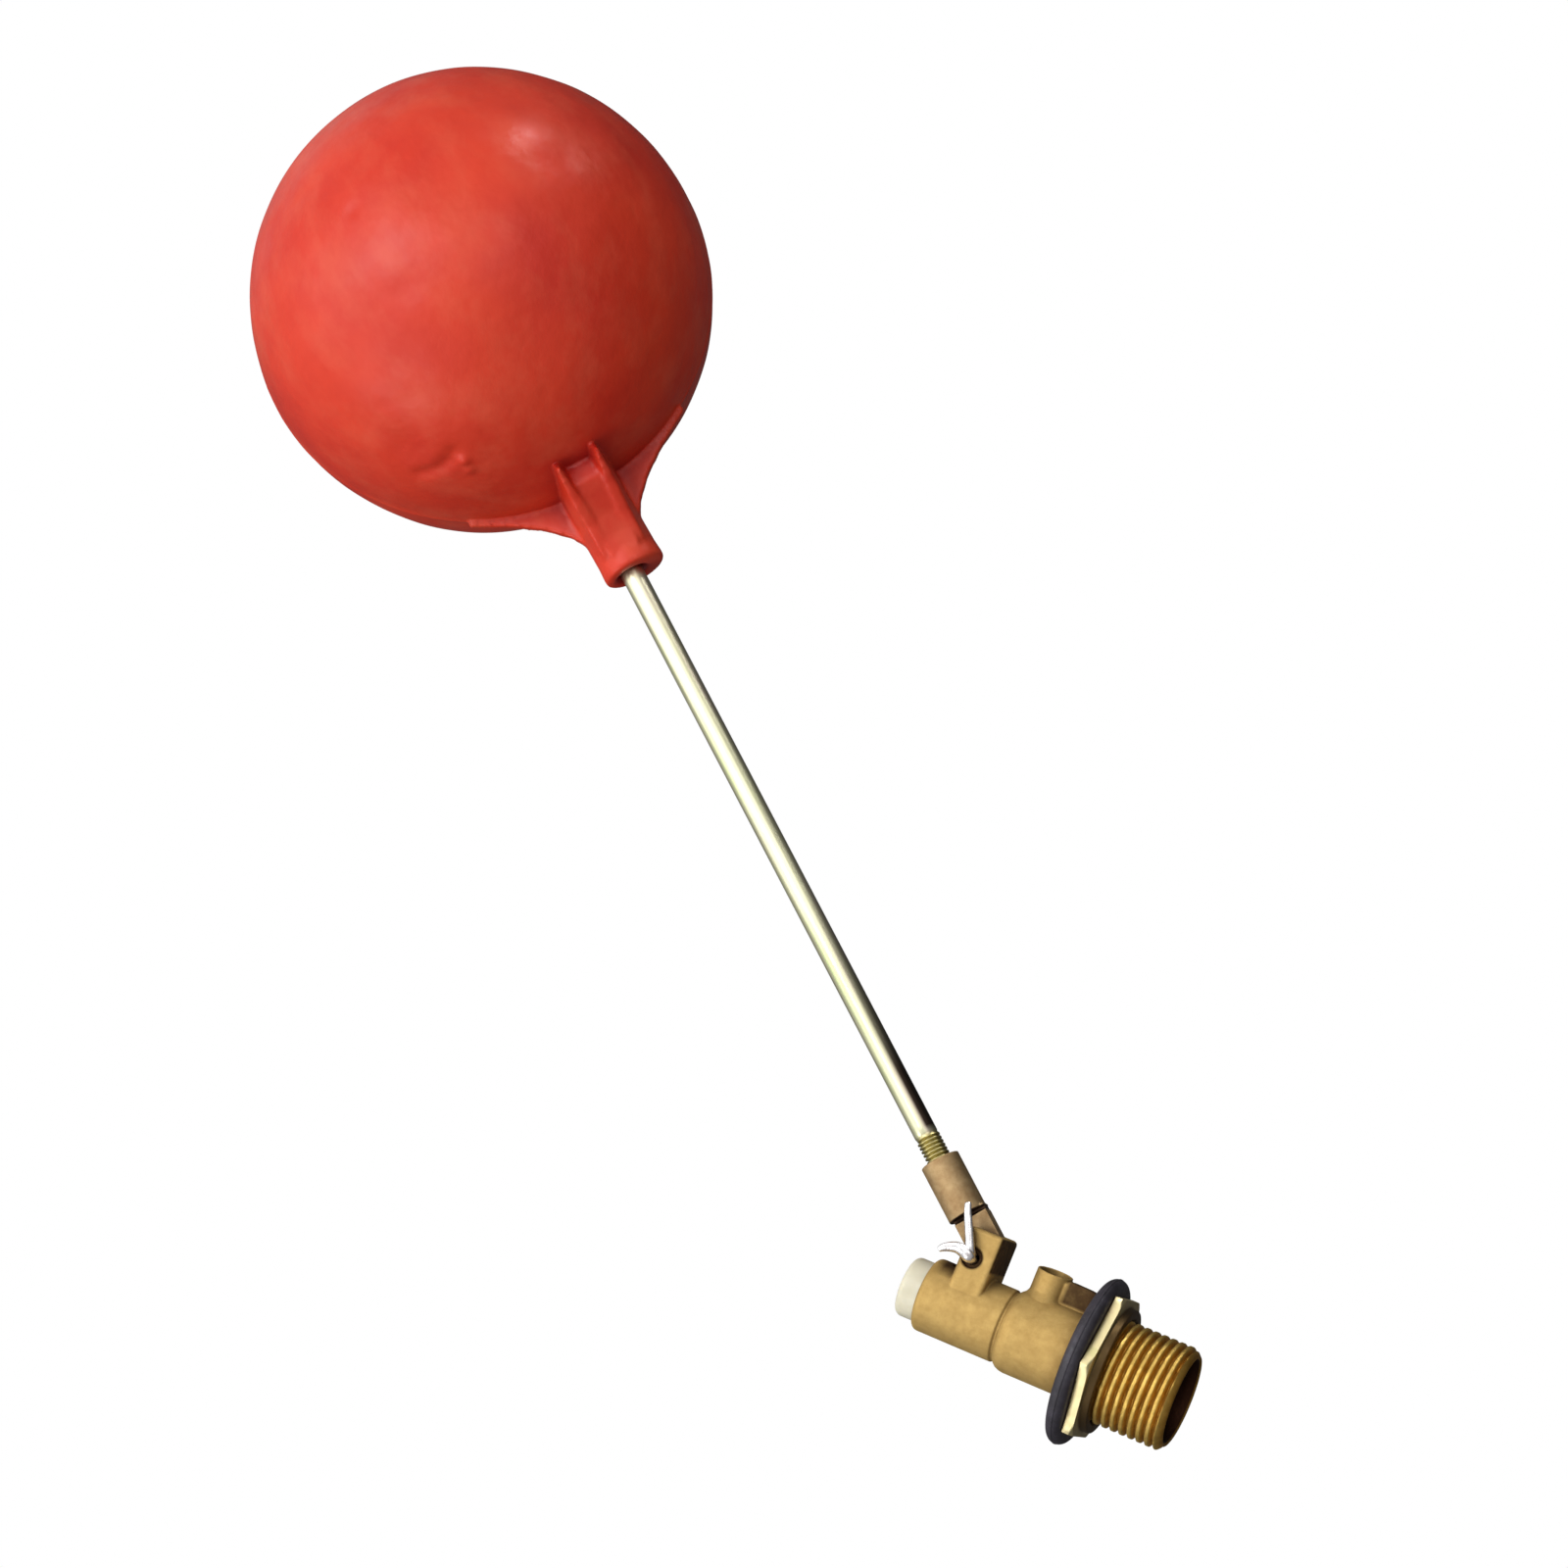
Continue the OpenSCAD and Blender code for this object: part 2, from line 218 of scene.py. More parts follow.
def soften(obj, voxel, rounds):
    """Remeshes a solid evenly and rounds its edges and inner corners."""
    remesh = obj.modifiers.new("remesh", "REMESH")
    remesh.mode = "VOXEL"
    remesh.voxel_size = voxel * MM
    smooth = obj.modifiers.new("smooth", "SMOOTH")
    smooth.factor = 0.5
    smooth.iterations = rounds
    return settle(obj)


def smoothstep(t):
    t = min(max(t, 0), 1)
    return t * t * (3 - 2 * t)


def thread_radius(x, angle, pitch, root, crest):
    """Radius of a right-hand thread with narrow roots and flat crests."""
    turn = (x / pitch + angle / TAU) % 1
    return root + (crest - root) * smoothstep(FLANK_SLOPE * abs(2 * turn - 1) - ROOT_WIDTH)


def spaced(start, end, step):
    """Values from start to end, about step apart."""
    count = max(1, round(abs(end - start) / step))
    return [start + (end - start) * k / count for k in range(count + 1)]


def arm_matrix():
    """Puts the level arm's frame at the float's hanging position."""
    return Matrix.Translation(PIVOT * MM) @ Matrix.Rotation(DROOP, 4, "Y")


def finish_piece(obj, body, nodes, material, smooth_angle=None):
    """Smooth shading, its material, and what it stands for in the frame."""
    obj.data.materials.clear()
    obj.data.materials.append(material)
    obj.data.shade_smooth()
    if smooth_angle:
        obj.data.set_sharp_from_angle(angle=math.radians(smooth_angle))
    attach(obj, body)
    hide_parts(*nodes)
    return obj


# ---------------------------------------------------------------- materials
class Paint:
    """A node material with one Principled shader, and short calls to build its inputs."""

    def __init__(self, name, **values):
        self.material = bpy.data.materials.new(name)
        self.material.use_nodes = True
        self.tree = self.material.node_tree
        self.shader = self.tree.nodes["Principled BSDF"]
        for key, value in values.items():
            self.shader.inputs[key.replace("_", " ")].default_value = value
        self.place = self.node("ShaderNodeTexCoord").outputs["Object"]

    def node(self, kind, **settings):
        made = self.tree.nodes.new(kind)
        for key, value in settings.items():
            setattr(made, key, value)
        return made

    def join(self, source, socket):
        self.tree.links.new(source, socket)

    def put(self, value, socket):
        """Links a socket, or sets a plain value."""
        if isinstance(value, bpy.types.NodeSocket):
            self.join(value, socket)
        else:
            socket.default_value = value

    def noise(self, size_mm, detail=3, stretch=(1, 1, 1), rough=0.5):
        """Noise with features of about that size."""
        mapping = self.node("ShaderNodeMapping")
        self.join(self.place, mapping.inputs["Vector"])
        mapping.inputs["Scale"].default_value = [1 / (size_mm * MM * s) for s in stretch]
        made = self.node("ShaderNodeTexNoise")
        made.inputs["Scale"].default_value = 1
        made.inputs["Detail"].default_value = detail
        made.inputs["Roughness"].default_value = rough
        self.join(mapping.outputs["Vector"], made.inputs["Vector"])
        return made.outputs["Fac"]

    def math(self, operation, a, b=0.0):
        made = self.node("ShaderNodeMath", operation=operation)
        self.put(a, made.inputs[0])
        self.put(b, made.inputs[1])
        return made.outputs[0]

    def span(self, value, low, high, to_low=0.0, to_high=1.0):
        """Maps low..high to to_low..to_high, and holds it there."""
        made = self.node("ShaderNodeMapRange")
        self.put(value, made.inputs["Value"])
        ends = {"From Min": low, "From Max": high, "To Min": to_low, "To Max": to_high}
        for key, number in ends.items():
            made.inputs[key].default_value = number
        return made.outputs["Result"]

    def blend(self, share, a, b):
        """Colour a where share is 0 and b where it is 1."""
        made = self.node("ShaderNodeMix", data_type="RGBA")
        self.put(share, made.inputs["Factor"])
        for value, socket in ((a, made.inputs["A"]), (b, made.inputs["B"])):
            self.put(value if isinstance(value, bpy.types.NodeSocket) else (*value, 1), socket)
        return made.outputs["Result"]

    def ramp(self, value, *stops):
        """A colour ramp from (position, colour) stops."""
        made = self.node("ShaderNodeValToRGB")
        points = made.color_ramp.elements
        while len(points) < len(stops):
            points.new(0.5)
        for point, (position, colour) in zip(points, stops):
            point.position = position
            point.color = (*colour, 1)
        self.join(value, made.inputs["Fac"])
        return made.outputs["Color"]

    def hollows(self, reach_mm):
        """0 in recesses and corners and 1 on open faces."""
        made = self.node("ShaderNodeAmbientOcclusion", samples=6)
        made.inputs["Distance"].default_value = reach_mm * MM
        return made.outputs["AO"]

    def coordinates(self):
        split = self.node("ShaderNodeSeparateXYZ")
        self.join(self.place, split.inputs[0])
        return split.outputs

    def distance(self, a, b):
        """Length of the vector (a, b)."""
        squares = self.math("MULTIPLY", a, a), self.math("MULTIPLY", b, b)
        return self.math("SQRT", self.math("ADD", *squares))

    def bump(self, *layers):
        """Layers of (height from 0 to 1, depth in mm), one on the other."""
        normal = None
        for height, depth_mm in layers:
            made = self.node("ShaderNodeBump")
            made.inputs["Strength"].default_value = 1
            made.inputs["Distance"].default_value = depth_mm * MM
            self.join(height, made.inputs["Height"])
            if normal:
                self.join(normal, made.inputs["Normal"])
            normal = made.outputs["Normal"]
        self.join(normal, self.shader.inputs["Normal"])

    def set(self, key, value):
        self.put(value, self.shader.inputs[key])


def brass(name, bright, brown, hollow_shade, rough):
    """Brass that was cast, turned and tumbled: satin and blotchy, with painted shade in its corners and
    recesses.
    """
    paint = Paint(name, Metallic=0.8)
    blotches = paint.span(paint.noise(2.6, 4, rough=0.6), 0.35, 0.68)
    colour = paint.blend(blotches, bright, brown)
    specks = paint.span(paint.noise(0.35, 2), 0.62, 0.75, 0, 0.35)
    colour = paint.blend(specks, colour, brown)
    # painted shade: the dark third colour is blended into recesses and corners by ambient occlusion
    open_face = paint.span(paint.hollows(5), 0.35, 0.9)
    colour = paint.blend(open_face, hollow_shade, colour)
    paint.set("Base Color", colour)
    paint.set("Roughness", paint.span(paint.noise(1.4, 5, rough=0.65), 0.3, 0.7, *rough))
    paint.bump((paint.noise(0.28, 4, rough=0.7), 0.035), (paint.noise(3.5, 2), 0.05))
    return paint, colour


def body_brass():
    """The body has painted shade, near black, on the web, the ears' inlet side, the bores and by the slot.
    """
    paint, colour = brass("cast_brass", (0.60, 0.41, 0.145), (0.50, 0.33, 0.11),
                          (0.07, 0.032, 0.01), (0.6, 0.76))
    x, y, z = paint.coordinates()

    def band(value, low, high, edge):
        """1 from low to high, falling to 0 over the edge."""
        rise = paint.span(value, (low - edge) * MM, low * MM)
        return paint.math("MULTIPLY", rise, paint.span(value, (high + edge) * MM, high * MM))

    def below(height, edge):
        return paint.span(z, height * MM, (height - edge) * MM)

    def both(a, b):
        return paint.math("MULTIPLY", a, b)

    mouth = paint.distance(paint.math("SUBTRACT", x, SPOUT_X * MM), y)
    hole = paint.distance(paint.math("SUBTRACT", x, PIVOT.x * MM),
                          paint.math("SUBTRACT", z, PIVOT.z * MM))
    # painted shade: each mask below darkens a place that lies in shadow
    places = [
        both(below(-8.2, 0.6), band(x, 16, 21.25, 0.25)),       # inlet side of the ears
        both(below(-8.2, 0.6), band(x, 0.1, 6.6, 1)),           # web
        both(below(-4.4, 2.2), band(x, 28.9, 30.6, 1.7)),       # by the end of the slot
        both(below(-11, 0.5), band(mouth, 0, 3.05, 0.2)),       # mouth of the spout
        band(hole, 0, 2.0, 0.5),                                # pin hole
    ]
    # skin here is the painted shade: the strongest of these masks, broken up by noise
    skin = places[0]
    for place in places[1:]:
        skin = paint.math("MAXIMUM", skin, place)
    skin = both(skin, paint.span(paint.noise(1.5, 4), 0.2, 0.55, 0.75, 0.95))
    paint.set("Base Color", paint.blend(skin, colour, (0.06, 0.028, 0.010)))
    return paint.material


def lever_brass():
    """Duller brass, with painted shade across the groove and the step where the tongue meets the sleeve."""
    paint, colour = brass("lever_brass", (0.46, 0.32, 0.16), (0.31, 0.19, 0.085),
                          (0.03, 0.014, 0.007), (0.46, 0.6))
    x = paint.coordinates()[0]
    # painted shade across the groove and the sleeve's step face, held in skin
    start = paint.span(x, (SLEEVE_X - GROOVE - 0.2) * MM, (SLEEVE_X - GROOVE) * MM)
    end = paint.span(x, (SLEEVE_X + 0.3) * MM, (SLEEVE_X + 0.1) * MM)
    skin = paint.math("MULTIPLY", start, end)
    skin = paint.math("MULTIPLY", skin, paint.span(paint.noise(1.5, 4), 0.2, 0.55, 0.8, 1))
    paint.set("Base Color", paint.blend(skin, colour, (0.035, 0.016, 0.008)))
    return paint.material


def thread_brass():
    """The rolled and bright inlet thread: gold crests over roots made brown by painted shade, with turning
    marks.
    """
    paint = Paint("inlet_brass", Metallic=1)
    x, y, z = paint.coordinates()
    radius = paint.distance(y, z)
    height = paint.span(radius, THREAD_ROOT_R * MM, THREAD_CREST_R * MM)
    stains = paint.span(paint.noise(2.2, 4, (1.6, 1, 1), 0.6), 0.35, 0.7)
    crest = paint.blend(stains, (0.78, 0.54, 0.15), (0.58, 0.38, 0.09))
    # painted shade: the colour darkens from the crests down into the thread's roots
    root_shade = paint.ramp(height, (0.0, (0.56, 0.44, 0.30)), (0.5, (0.80, 0.69, 0.54)), (1.0, (1, 1, 1)))
    made = paint.node("ShaderNodeMix", data_type="RGBA", blend_type="MULTIPLY")
    made.inputs["Factor"].default_value = 1
    paint.join(crest, made.inputs["A"])
    paint.join(root_shade, made.inputs["B"])
    # painted shade: the bore's inner wall is near black
    inside = paint.span(radius, (TAIL_BORE_R + 0.1) * MM, (TAIL_BORE_R + 0.3) * MM)
    paint.set("Base Color", paint.blend(inside, (0.035, 0.014, 0.008), made.outputs["Result"]))
    paint.set("Roughness", paint.span(paint.noise(0.9, 4, (0.5, 1, 1)), 0.3, 0.7, 0.46, 0.64))
    paint.bump((paint.noise(0.5, 3, (0.15, 1, 1)), 0.025), (paint.noise(1.2, 3), 0.04))
    return paint.material


def black_rubber():
    """Soft black rubber with a violet cast, a fine grain and a little dust."""
    paint = Paint("rubber")
    bloom = paint.span(paint.noise(3, 4, rough=0.6), 0.4, 0.75)
    colour = paint.blend(bloom, (0.020, 0.017, 0.024), (0.042, 0.036, 0.050))
    dust = paint.span(paint.noise(0.25, 2), 0.68, 0.74, 0, 0.6)
    paint.set("Base Color", paint.blend(dust, colour, (0.14, 0.12, 0.12)))
    paint.set("Roughness", paint.span(paint.noise(1.1, 4), 0.3, 0.7, 0.42, 0.66))
    paint.bump((paint.noise(0.3, 3), 0.03), (paint.noise(4, 2), 0.10))
    return paint.material


def passivated_zinc(name, stretch, rough, pale, green, pink):
    """Zinc with a yellow passivation, from cream to green and pink. Its colour is left to tint."""
    paint = Paint(name, Metallic=1)
    tint = paint.noise(5, 3, stretch, 0.55)
    colour = paint.ramp(tint, (0.30, pink), (0.46, pale), (0.56, pale), (0.72, green))
    # painted shade: a dark olive colour is blended into recesses and corners by ambient occlusion
    open_face = paint.span(paint.hollows(1.2), 0.4, 0.9)
    colour = paint.blend(open_face, (0.30, 0.22, 0.09), colour)
    paint.set("Roughness", paint.span(paint.noise(1.5, 4, stretch), 0.3, 0.7, *rough))
    paint.bump((paint.noise(4, 2, stretch), 0.012))
    return paint, colour


def nut_zinc():
    """The nut is bright on its plate and has painted shade, dark brown, on its collar."""
    paint, colour = passivated_zinc("nut_zinc", (1, 1, 1), (0.4, 0.55), (0.84, 0.73, 0.41),
                                    (0.72, 0.66, 0.32), (0.82, 0.65, 0.38))
    x, _, _ = paint.coordinates()
    # painted shade on the collar, behind the plate
    collar = paint.span(x, (NUT_PLATE_X + 0.1) * MM, (NUT_PLATE_X - 0.15) * MM)
    paint.set("Base Color", paint.blend(collar, colour, (0.11, 0.07, 0.03)))
    return paint.material


def rod_zinc():
    """The rod is dull on its threads, and has a painted dark reflection along one side near the lever's
    end.
    """
    paint, colour = passivated_zinc("rod_zinc", (9, 0.5, 0.5), (0.3, 0.4), (0.76, 0.74, 0.50),
                                    (0.62, 0.69, 0.36), (0.76, 0.64, 0.53))
    x, _, z = paint.coordinates()
    threads = paint.math("MAXIMUM", paint.span(x, 27 * MM, 26 * MM), paint.span(x, 163 * MM, 164 * MM))
    colour = paint.blend(threads, colour, (0.42, 0.36, 0.15))
    # painted reflection: the rod is darkened along one side near the lever
    dark_reflection = paint.math("MULTIPLY", paint.span(x, 82 * MM, 40 * MM), paint.span(z, -0.2 * MM, -1.3 * MM))
    dark_reflection = paint.math("MULTIPLY", dark_reflection, paint.span(x, 26 * MM, 28 * MM))
    paint.set("Base Color", paint.blend(dark_reflection, colour, (0.06, 0.04, 0.03)))
    return paint.material


def red_plastic():
    """Blow moulded plastic with an uneven satin skin and a chalky bloom."""
    paint = Paint("red_plastic", Subsurface_Weight=0.08, Subsurface_Radius=(1, 0.25, 0.12),
                  Subsurface_Scale=2 * MM, IOR=1.5, Specular_IOR_Level=0.36)
    cloud = paint.span(paint.noise(26, 4, rough=0.55), 0.35, 0.7)
    colour = paint.blend(cloud, (0.65, 0.040, 0.012), (0.54, 0.020, 0.006))
    bloom = paint.span(paint.noise(8, 5, (2, 1, 1), 0.62), 0.46, 0.74, 0, 0.30)
    colour = paint.blend(bloom, colour, (0.70, 0.12, 0.055))
    # painted shade: dark red is blended into recesses, between the ribs and by the neck, by ambient
    # occlusion
    open_face = paint.span(paint.hollows(6), 0.35, 0.9)
    paint.set("Base Color", paint.blend(open_face, (0.30, 0.006, 0.006), colour))
    paint.set("Roughness", paint.span(paint.noise(12, 5, rough=0.62), 0.32, 0.68, 0.32, 0.54))
    paint.bump((paint.noise(0.5, 3), 0.012), (paint.noise(3.2, 4, rough=0.6), 0.06),
               (paint.noise(11, 3), 0.45))
    return paint.material


def white_nylon():
    """Milky nylon that light sinks into, with faint turning marks."""
    paint = Paint("nylon", Subsurface_Weight=0.45, Subsurface_Radius=(1, 0.9, 0.7),
                  Subsurface_Scale=2 * MM, IOR=1.53)
    cloud = paint.span(paint.noise(4, 3), 0.35, 0.7)
    paint.set("Base Color", paint.blend(cloud, (0.75, 0.71, 0.56), (0.66, 0.62, 0.47)))
    paint.set("Roughness", paint.span(paint.noise(1, 3), 0.3, 0.7, 0.3, 0.45))
    paint.bump((paint.noise(0.5, 3, (0.2, 1, 1)), 0.01), (paint.noise(3, 2), 0.04))
    return paint.material


def bright_steel():
    """Drawn wire: bright, with fine lines and small nicks."""
    paint = Paint("pin_steel", Metallic=1)
    tint = paint.span(paint.noise(1.4, 3), 0.35, 0.7)
    paint.set("Base Color", paint.blend(tint, (0.86, 0.85, 0.86), (0.62, 0.58, 0.58)))
    paint.set("Roughness", paint.span(paint.noise(0.6, 4), 0.3, 0.7, 0.16, 0.34))
    paint.bump((paint.noise(0.2, 3), 0.012), (paint.noise(0.9, 3), 0.03))
    return paint.material


CAST = body_brass()
LEVER = lever_brass()
THREAD = thread_brass()
RUBBER = black_rubber()
NUT_ZINC = nut_zinc()
ROD_ZINC = rod_zinc()
RED = red_plastic()
NYLON = white_nylon()
STEEL = bright_steel()


# ---------------------------------------------------------------- valve body
def body_solid():
    """The turned body with its spout, web and ears, before any hole is made."""
    end = BODY_HIGH.x
    body = lathe("valve_body_casting", [
        (-FLANGE_T, FLANGE_R - 0.3), (0.3 - FLANGE_T, FLANGE_R), (-0.25, FLANGE_R), (0, FLANGE_R - 0.25),
        (0, SHOULDER_R + 0.9), (0.3, SHOULDER_R + 0.4), (1, SHOULDER_R), (SHOULDER_END, SHOULDER_R),
        (SHOULDER_END + 0.8, SHOULDER_R - 0.12), (SHOULDER_END + 1.6, SHOULDER_R - 0.45),
        (TAPER_END - 0.3, CHAMBER_OUTER_R + 0.05), (TAPER_END - 0.1, CHAMBER_OUTER_R - 0.35),
        (TAPER_END + 0.3, CHAMBER_OUTER_R - 0.35), (TAPER_END + 0.6, CHAMBER_OUTER_R)]
        + arc((end - END_ROUND, CHAMBER_OUTER_R - END_ROUND), END_ROUND, 90, 0, 6))
    spout = rod_along("spout", SPOUT_R, (SPOUT_X, 0, SPOUT_END), (SPOUT_X, 0, 0))
    for vertex in spout.data.vertices:
        if vertex.co.z < -1 * MM:
            vertex.co.z += (SPOUT_R * MM - vertex.co.y) * math.tan(SPOUT_SLANT)
    fillet = [(0, SPOUT_R + 0.9), (7.2, SPOUT_R + 0.9), (8.2, SPOUT_R + 0.3), (9, SPOUT_R - 0.1)]
    root = lathe("root", fillet, steps=64)
    down = Matrix.Rotation(math.pi / 2, 4, "Y")
    root.data.transform(Matrix.Translation((SPOUT_X * MM, 0, 0)) @ down)
    web_outline = [(0.1, 0), (0.1, -12.1), (1.2, -12.7), (2.8, -12.9), (6.9, -13.0), (7.2, -12.4),
                   (SPOUT_X, -12.4), (SPOUT_X, 0)]
    web = bevelled(prism("web", web_outline, -WEB_HALF, WEB_HALF), 0.9)
    ears = block("ears", (EARS_X, -EARS_HALF, BODY_LOW.z), (EARS_END, EARS_HALF, 0))
    return combine(body, [spout, root, web, bevelled(ears, 0.8)], "UNION")


def body_cutters():
    """The bores, the chamber, the gap between the ears and the pin holes."""
    end = BODY_HIGH.x + 1
    cutters = [
        rod_along("seat_bore", SEAT_BORE_R, (-2, 0, 0), (3.4, 0, 0)),
        rod_along("nozzle_bore", NOZZLE_BORE_R, (3, 0, 0), (6, 0, 0)),
        rod_along("chamber", CHAMBER_R, (5, 0, 0), (end, 0, 0), steps=96),
        rod_along("spout_bore", SPOUT_BORE_R, (SPOUT_X, 0, SPOUT_END - 1), (SPOUT_X, 0, 0)),
        rod_along("spout_mouth", SPOUT_BORE_R + 0.7, (SPOUT_X, 0, SPOUT_END - 1),
                  (SPOUT_X, 0, SPOUT_END + 1.8)),
        block("ear_gap", (INNER_WALL_X, -GAP_HALF, BODY_LOW.z - 1),
              (EARS_END + 1, GAP_HALF, -CHAMBER_OUTER_R + 0.01)),
        block("lever_slot", (22.7, -GAP_HALF, -CHAMBER_OUTER_R - 0.2), (29.5, GAP_HALF, -0.2)),
        rod_along("pin_hole", PIN_HOLE_R, (PIVOT.x, -9, PIVOT.z), (PIVOT.x, 9, PIVOT.z)),
    ]
    for side in (-1, 1):
        floor = (PIVOT.x, side * (EARS_HALF - PIN_SINK_H), PIVOT.z)
        cutters.append(rod_along("pin_sink", PIN_SINK_R, floor, (PIVOT.x, side * 9, PIVOT.z)))
    return cutters


def make_body():
    body = combine(body_solid(), body_cutters(), "DIFFERENCE")
    soften(body, METAL_VOXEL, rounds=2)
    finish_piece(body, "valve", ["valve_body"], CAST)


def make_inlet_tail():
    """The threaded tail with its bore. It ends just inside the flange."""
    start = BODY_LOW.x

    def outer(x):
        cone = THREAD_CREST_R - THREAD_CHAMFER + (x - start)
        form = THREAD_PITCH, THREAD_ROOT_R, THREAD_CREST_R
        return lambda angle: min(thread_radius(x, angle, *form), cone)

    rings = [(start, TAIL_BORE_R + 0.5), (start, THREAD_CREST_R - THREAD_CHAMFER - 0.15)]
    rings += [(x, outer(x)) for x in spaced(start + 0.1, -1.2, step=0.14)]
    rings += [(-1, THREAD_ROOT_R), (-1, SEAT_BORE_R), (TAIL_BORE_END, SEAT_BORE_R),
              (TAIL_BORE_END, TAIL_BORE_R)]
    rings += [(x, TAIL_BORE_R) for x in spaced(TAIL_BORE_END - 0.5, start + 0.5, step=2)]
    tail = lathe("inlet_tail", rings, steps=160, closed=True)
    finish_piece(tail, "valve", ["valve_body"], THREAD, smooth_angle=50)


# ---------------------------------------------------------------- washer and nut
def make_washer():
    """The washer with its round rim, the flash on it, and the recess for the flange."""
    thick = WASHER_HIGH.x - WASHER_LOW.x
    rim = thick / 2
    centre = (WASHER_LOW.x + rim, WASHER_HIGH.z - rim)
    inner = THREAD_CREST_R + 0.1
    flash = [(centre[0] - 0.14, centre[1] + rim - 0.07), (centre[0] - 0.06, centre[1] + rim),
             (centre[0] + 0.06, centre[1] + rim), (centre[0] + 0.14, centre[1] + rim - 0.07)]
    left = arc(centre, rim - 0.08, 180, 95, 14)
    right = arc(centre, rim - 0.08, 85, 0, 14)
    rings = [(WASHER_LOW.x + 0.35, inner), (WASHER_LOW.x, inner + 0.35), (WASHER_LOW.x, inner + 2)]
    rings += left + flash + right
    recess = FLANGE_R + 0.1
    rings += [(WASHER_HIGH.x, recess + 0.3), (WASHER_HIGH.x - 0.3, recess), (-FLANGE_T, recess),
              (-FLANGE_T, inner)]
    washer = lathe("flange_washer_ring", rings, steps=160, closed=True)
    finish_piece(washer, "valve", ["flange_washer"], RUBBER, smooth_angle=60)


def make_nut():
    """A hexagonal plate with a round collar, its corners turned off on the collar's side."""
    flat = NUT_HIGH.z
    corner = flat / math.cos(math.radians(30))
    limit_r = corner - NUT_CORNER_CUT
    face_x, collar_x = NUT_HIGH.x, NUT_LOW.x

    def hexagon(inset, limit=limit_r):
        def radius(angle):
            off = (angle % math.radians(60)) - math.radians(30)
            return min(flat / math.cos(off) - inset, limit)
        return radius

    bore = THREAD_CREST_R + 0.05
    rings = [(face_x - 0.4, bore), (face_x, bore + 0.4), (face_x, hexagon(0.25)),
             (face_x - 0.08, hexagon(0.08)), (face_x - 0.25, hexagon(0))]
    rings += [(NUT_PLATE_X + 0.6 - 0.6 * t, hexagon(0.02 if t < 1 else 0.15, limit_r - 0.9 * t))
              for t in (0, 0.25, 0.5, 0.75, 0.93, 1)]
    rings += [(NUT_PLATE_X, NUT_COLLAR_R + 0.35), (NUT_PLATE_X - 0.1, NUT_COLLAR_R + 0.1),
              (NUT_PLATE_X - 0.35, NUT_COLLAR_R), (collar_x + 0.35, NUT_COLLAR_R),
              (collar_x + 0.1, NUT_COLLAR_R - 0.1), (collar_x, NUT_COLLAR_R - 0.35),
              (collar_x, bore + 0.5), (collar_x + 0.45, bore + 0.1)]

    def groove(x):
        return lambda angle: thread_radius(x, angle, THREAD_PITCH, bore, bore + 0.45)

    rings += [(x, groove(x)) for x in spaced(collar_x + 0.6, face_x - 0.6, step=0.2)]
    nut = lathe("lock_nut_ring", rings, steps=192, closed=True)
    finish_piece(nut, "nut", ["lock_nut"], NUT_ZINC, smooth_angle=40)


# ---------------------------------------------------------------- plunger
def make_plunger():
    """The sliding plunger with its round nose, its slot for the crank and a moulding mark."""
    low, high = PLUNGER_LOW.x, PLUNGER_HIGH.x
    r, edge = PLUNGER_HIGH.y, 1.3
    rings = [(low + 2, 0.01), (low + 2, 4.5), (low, 4.5), (low, r - 0.4), (low + 0.4, r)]
    rings += [(x, r) for x in spaced(low + 3, high - edge - 1, step=3)]
    rings += arc((high - edge, r - edge), edge, 90, 0, 8)
    rings += [(high, 2.4), (high - 0.12, 2.1), (high - 0.35, 2.0), (high - 0.35, 0.01)]
    plunger = lathe("plunger_body", rings)
    outline = [(SLOT_X - SLOT_HALF, SLOT_TOP), (SLOT_X + SLOT_HALF, SLOT_TOP),
               (SLOT_X + SLOT_HALF, FLARE_TOP), (SLOT_X + FLARE_HALF, -r), (SLOT_X + FLARE_HALF, -r - 1),
               (SLOT_X - FLARE_HALF, -r - 1), (SLOT_X - FLARE_HALF, -r), (SLOT_X - SLOT_HALF, FLARE_TOP)]
    combine(plunger, [prism("slot", outline, -GAP_HALF, GAP_HALF)], "DIFFERENCE")
    finish_piece(plunger, "piston", ["plunger"], NYLON, smooth_angle=35)


